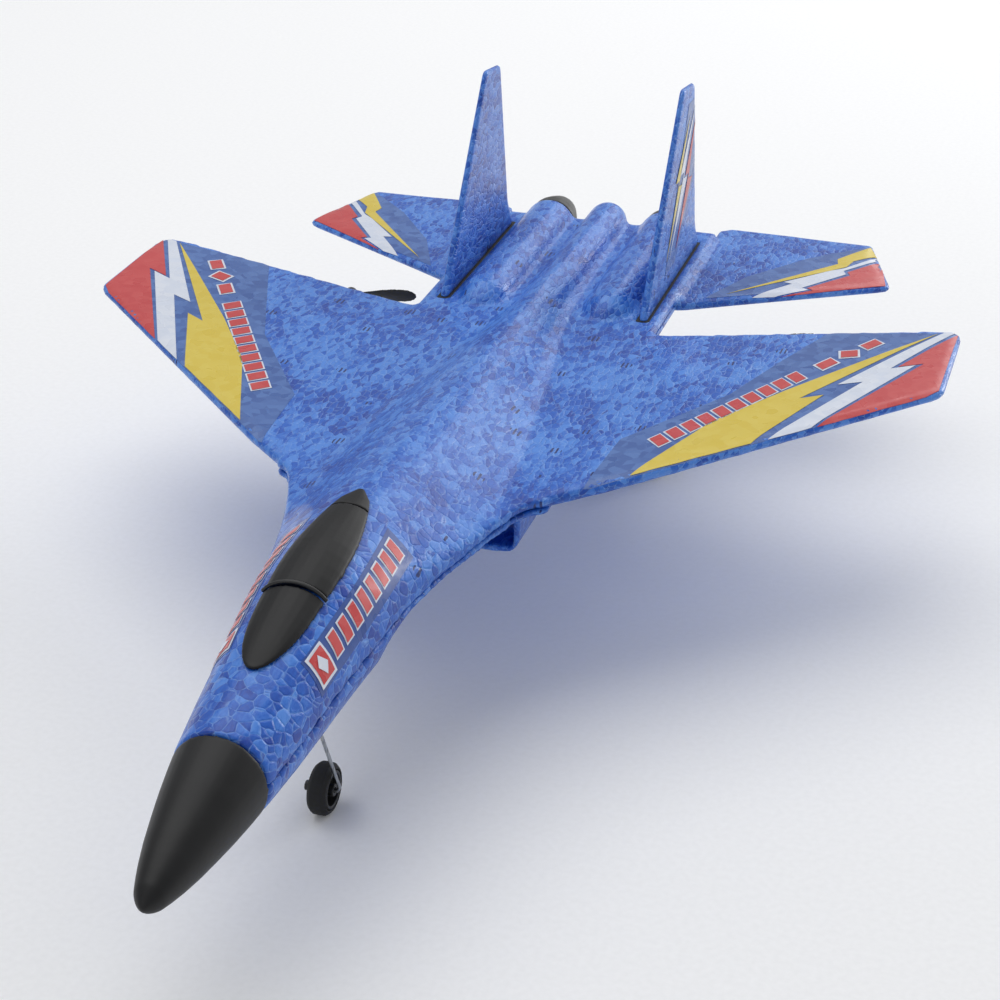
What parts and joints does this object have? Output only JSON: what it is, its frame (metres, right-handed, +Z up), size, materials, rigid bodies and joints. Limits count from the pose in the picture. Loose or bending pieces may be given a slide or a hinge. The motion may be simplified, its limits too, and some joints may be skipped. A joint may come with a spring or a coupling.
{
  "type": "foam jet park flyer",
  "caption": "Moulded-foam toy jet aeroplane with swept wings, upright tail fins, wing-mounted pusher propellers and a fixed wire undercarriage.",
  "frame": {"origin": "On the ground under the wheels, at the centre of the bounding box: in the mirror plane, midway between the nose tip and the tailplanes' rear edges", "axes": "+Z up, -Y towards the nose, +X towards the aeroplane's left wing tip"},
  "size_m": [0.292, 0.4272, 0.1384],
  "materials": {
    "foam": "moulded bead foam, glossy skin",
    "cone_black": "satin",
    "canopy_black": "gloss",
    "nozzle_grey": "matt",
    "black_plastic": "moulded, satin",
    "steel": "drawn wire",
    "motor_can": "plated",
    "tyre": "matt",
    "carbon": "ground rod",
    "battery_wrap": "shrink film",
    "circuit_board": "lacquered"
  },
  "bodies": {
    "airframe": {"upper_body": "foam", "lower_body": "foam", "left_wing": "foam", "left_tailplane": "foam", "left_fin": "foam", "left_nacelle": "foam", "left_nozzle": "nozzle_grey", "left_motor": "motor_can", "left_motor_mount": "black_plastic", "left_gear_block": "black_plastic", "left_gear_leg": "steel", "left_axle_collar": "black_plastic", "right_wing": "foam", "right_tailplane": "foam", "right_fin": "foam", "right_nacelle": "foam", "right_nozzle": "nozzle_grey", "right_motor": "motor_can", "right_motor_mount": "black_plastic", "right_gear_block": "black_plastic", "right_gear_leg": "steel", "right_axle_collar": "black_plastic", "nose_cone": "cone_black", "windscreen": "canopy_black", "canopy": "canopy_black", "canopy_fairing": "canopy_black", "canopy_bow": "canopy_black", "wing_spar": "carbon", "nose_gear_block": "black_plastic", "nose_gear_leg": "steel", "nose_axle_collar": "black_plastic", "battery_box": "black_plastic", "door_hinge_pin": "steel", "battery": "battery_wrap", "receiver_board": "circuit_board", "power_switch": "black_plastic"},
    "left_propeller_drive": {"left_propeller": "black_plastic", "left_motor_shaft": "steel"},
    "right_propeller_drive": {"right_propeller": "black_plastic", "right_motor_shaft": "steel"},
    "nose_wheel_assembly": {"nose_tyre": "tyre", "nose_wheel": "black_plastic"},
    "left_wheel_assembly": {"left_tyre": "tyre", "left_wheel": "black_plastic"},
    "right_wheel_assembly": {"right_tyre": "tyre", "right_wheel": "black_plastic"},
    "battery_door": {"battery_door": "black_plastic"},
    "switch_slider": {"switch_slider": "nozzle_grey"}
  },
  "joints": [
    {"name": "left_propeller_spin", "type": "hinge", "parent": "airframe", "child": "left_propeller_drive", "pos_m": [0.0745, 0.1165, 0.0637], "axis": [0, 1, 0], "continuous": true},
    {"name": "right_propeller_spin", "type": "hinge", "parent": "airframe", "child": "right_propeller_drive", "pos_m": [-0.0745, 0.1165, 0.0637], "axis": [0, 1, 0], "continuous": true},
    {"name": "nose_wheel_roll", "type": "hinge", "parent": "airframe", "child": "nose_wheel_assembly", "pos_m": [-0.0008, -0.101, 0.0078], "axis": [1, 0, 0], "continuous": true},
    {"name": "left_wheel_roll", "type": "hinge", "parent": "airframe", "child": "left_wheel_assembly", "pos_m": [0.038, 0.1344, 0.0078], "axis": [1, 0, 0], "continuous": true},
    {"name": "right_wheel_roll", "type": "hinge", "parent": "airframe", "child": "right_wheel_assembly", "pos_m": [-0.038, 0.1344, 0.0078], "axis": [1, 0, 0], "continuous": true},
    {"name": "battery_door_hinge", "type": "hinge", "parent": "airframe", "child": "battery_door", "pos_m": [0, -0.0436, 0.0469], "axis": [1, 0, 0], "range_deg": [0, 100]},
    {"name": "switch_slide", "type": "slide", "parent": "airframe", "child": "switch_slider", "axis": [0, 1, 0], "range_m": [0, 0.002]}
  ]
}
